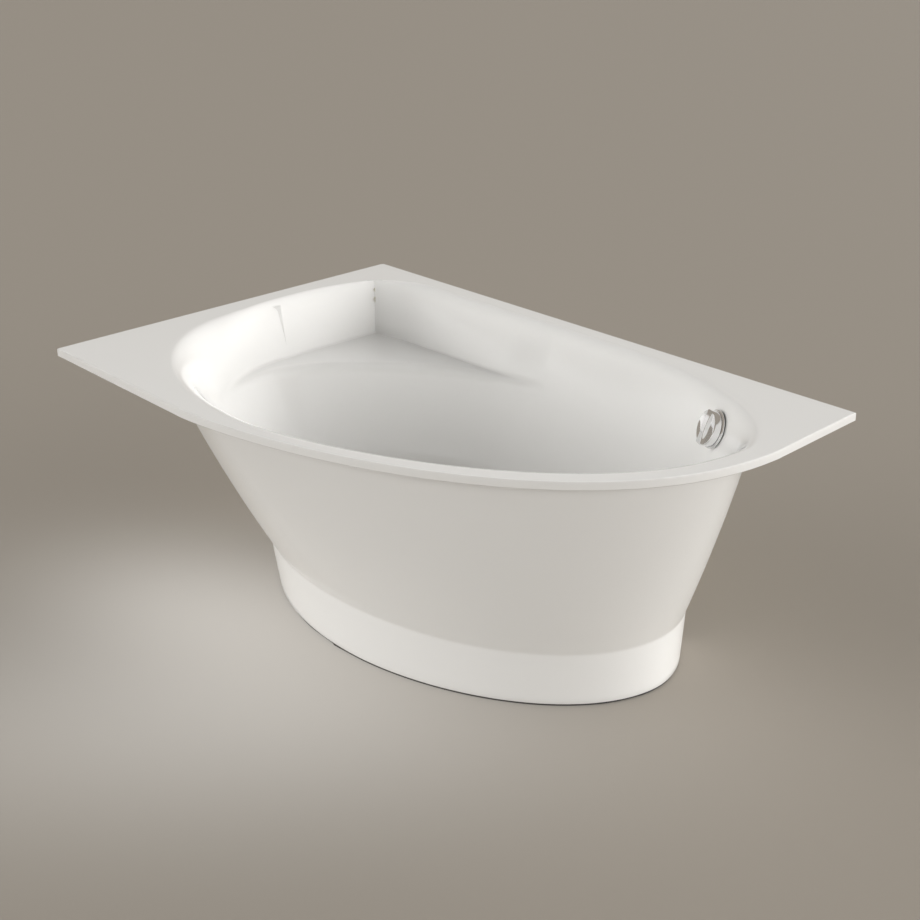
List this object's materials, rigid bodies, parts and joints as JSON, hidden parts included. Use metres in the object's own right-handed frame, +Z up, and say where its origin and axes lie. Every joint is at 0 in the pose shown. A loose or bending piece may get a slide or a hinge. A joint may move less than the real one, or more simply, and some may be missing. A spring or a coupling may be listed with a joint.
{
  "type": "corner bathtub",
  "caption": "Corner bathtub with a curved front panel, a raised corner shelf, a pop-up waste turned by the overflow knob, and a steel frame on levelling feet.",
  "frame": {"origin": "centre of the bounding box on the floor", "axes": "+X along the long wall away from the corner of the two walls, +Y out of the room towards the long wall, +Z up"},
  "size_m": [1.6, 1.07, 0.6],
  "materials": {
    "acrylic": "gloss white acrylic",
    "panel_acrylic": "gloss white acrylic",
    "laminate": "rough glass-fibre laminate",
    "board": "raw particle board",
    "timber": "planed softwood",
    "frame_steel": "satin powder coat",
    "zinc": "zinc plated",
    "black_plastic": "matt moulded",
    "grey_plastic": "matt moulded",
    "hose": "ribbed flexible hose",
    "rubber": "matt",
    "seal": "matt silicone",
    "chrome": "polished",
    "brass": "machined"
  },
  "bodies": {
    "tub": {"tub_shell": "acrylic", "reinforcement_layer": "laminate", "base_board": "board", "head_bar": "frame_steel", "middle_bar": "frame_steel", "foot_bar": "frame_steel", "frame_rails": "frame_steel", "bar_caps": "black_plastic", "frame_screws": "zinc", "corner_post": "frame_steel", "corner_plate": "frame_steel", "post_insert": "zinc", "weld_nuts": "zinc", "lock_nuts": "zinc", "wall_brackets": "zinc", "bracket_screws": "zinc", "long_wall_batten": "timber", "short_wall_batten": "timber", "apron_panel": "panel_acrylic", "panel_clips": "timber", "floor_seal": "seal", "overflow_chamber": "grey_plastic", "overflow_gasket": "rubber", "rosette_gasket": "rubber", "overflow_rosette": "chrome", "rosette_screws": "zinc", "overflow_hose": "hose", "control_cable": "black_plastic", "waste_flange": "chrome", "waste_gaskets": "rubber", "waste_body": "grey_plastic", "trap_body": "grey_plastic", "trap_nut": "grey_plastic", "outlet_pipe": "grey_plastic", "outlet_nut": "grey_plastic"},
    "knob": {"overflow_knob": "chrome", "knob_axle": "brass", "knob_crank": "brass"},
    "plug": {"drain_plug": "chrome", "plug_seal": "rubber", "plug_stem": "brass"},
    "lever": {"lift_lever": "brass", "lever_shaft": "zinc", "lever_arm": "zinc"},
    "foot_1": {"foot_rod_1": "zinc", "foot_pad_1": "black_plastic"},
    "foot_2": {"foot_rod_2": "zinc", "foot_pad_2": "black_plastic"},
    "foot_3": {"foot_rod_3": "zinc", "foot_pad_3": "black_plastic"},
    "foot_4": {"foot_rod_4": "zinc", "foot_pad_4": "black_plastic"},
    "foot_5": {"foot_rod_5": "zinc", "foot_pad_5": "black_plastic"}
  },
  "joints": [
    {"name": "knob_turn", "type": "hinge", "parent": "tub", "child": "knob", "pos_m": [0.525, 0.36628, 0.532], "axis": [-0.4292, -0.8394, 0.3334], "range_deg": [0, 90]},
    {"name": "plug_lift", "type": "slide", "parent": "tub", "child": "plug", "axis": [0, 0, 1], "range_m": [0, 0.01]},
    {"name": "lever_turn", "type": "hinge", "parent": "tub", "child": "lever", "pos_m": [0.23, 0.08, 0.108], "axis": [0, 1, 0], "range_deg": [0, 30]},
    {"name": "foot_level_1", "type": "slide", "parent": "tub", "child": "foot_1", "axis": [0, 0, -1], "range_m": [-0.005, 0.02]},
    {"name": "foot_level_2", "type": "slide", "parent": "tub", "child": "foot_2", "axis": [0, 0, -1], "range_m": [-0.005, 0.02]},
    {"name": "foot_level_3", "type": "slide", "parent": "tub", "child": "foot_3", "axis": [0, 0, -1], "range_m": [-0.005, 0.02]},
    {"name": "foot_level_4", "type": "slide", "parent": "tub", "child": "foot_4", "axis": [0, 0, -1], "range_m": [-0.005, 0.02]},
    {"name": "foot_level_5", "type": "slide", "parent": "tub", "child": "foot_5", "axis": [0, 0, -1], "range_m": [-0.005, 0.02]}
  ],
  "couplings": [
    {"joint": "plug_lift", "follows": "knob_turn", "m_per_rad": 0.0063662},
    {"joint": "lever_turn", "follows": "knob_turn", "ratio": 0.33333}
  ]
}
